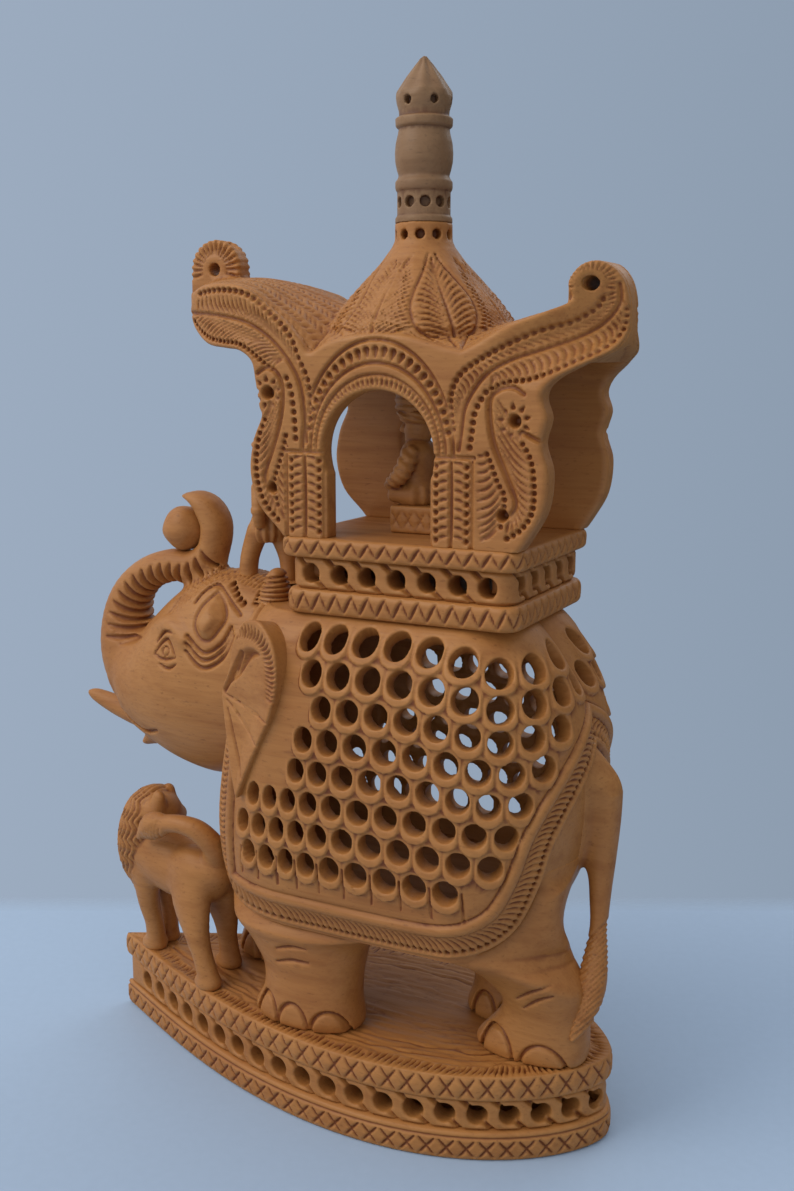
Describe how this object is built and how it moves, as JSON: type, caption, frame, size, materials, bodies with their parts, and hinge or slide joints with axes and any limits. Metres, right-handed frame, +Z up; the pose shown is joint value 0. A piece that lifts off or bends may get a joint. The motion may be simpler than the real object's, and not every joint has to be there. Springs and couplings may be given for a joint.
{
  "type": "elephant figurine",
  "caption": "Carved wooden elephant with a pierced blanket, carrying a canopied howdah with a lift-off finial, on a pierced leaf-shaped plinth.",
  "frame": {"origin": "on the plinth's underside, below the axis of the dome and finial", "axes": "the elephant faces -X, its left flank faces -Y, +Z is up"},
  "size_m": [0.165, 0.0684, 0.254],
  "materials": {
    "carved_wood": "satin, hand carved",
    "turned_wood": "satin, turned"
  },
  "bodies": {
    "figure": {"plinth_lower_moulding": "carved_wood", "plinth_pierced_band": "carved_wood", "plinth_top_board": "carved_wood", "plinth_dowels": "turned_wood", "torso": "carved_wood", "head": "carved_wood", "ear_left": "carved_wood", "ear_right": "carved_wood", "tusk_right": "carved_wood", "trunk_ball": "carved_wood", "leg_front_left": "carved_wood", "leg_front_right": "carved_wood", "leg_rear_left": "carved_wood", "leg_rear_right": "carved_wood", "tail": "carved_wood", "lion": "carved_wood", "mahout": "carved_wood", "platform_lower_moulding": "carved_wood", "platform_pierced_band": "carved_wood", "platform_floor": "carved_wood", "side_panel_left": "carved_wood", "side_panel_right": "carved_wood", "rider": "carved_wood", "rider_seat": "carved_wood", "roof": "carved_wood"},
    "finial": {"finial": "turned_wood"}
  },
  "joints": [
    {"name": "finial_lift", "type": "slide", "parent": "figure", "child": "finial", "axis": [0, 0, 1], "range_m": [0, 0.03]}
  ]
}
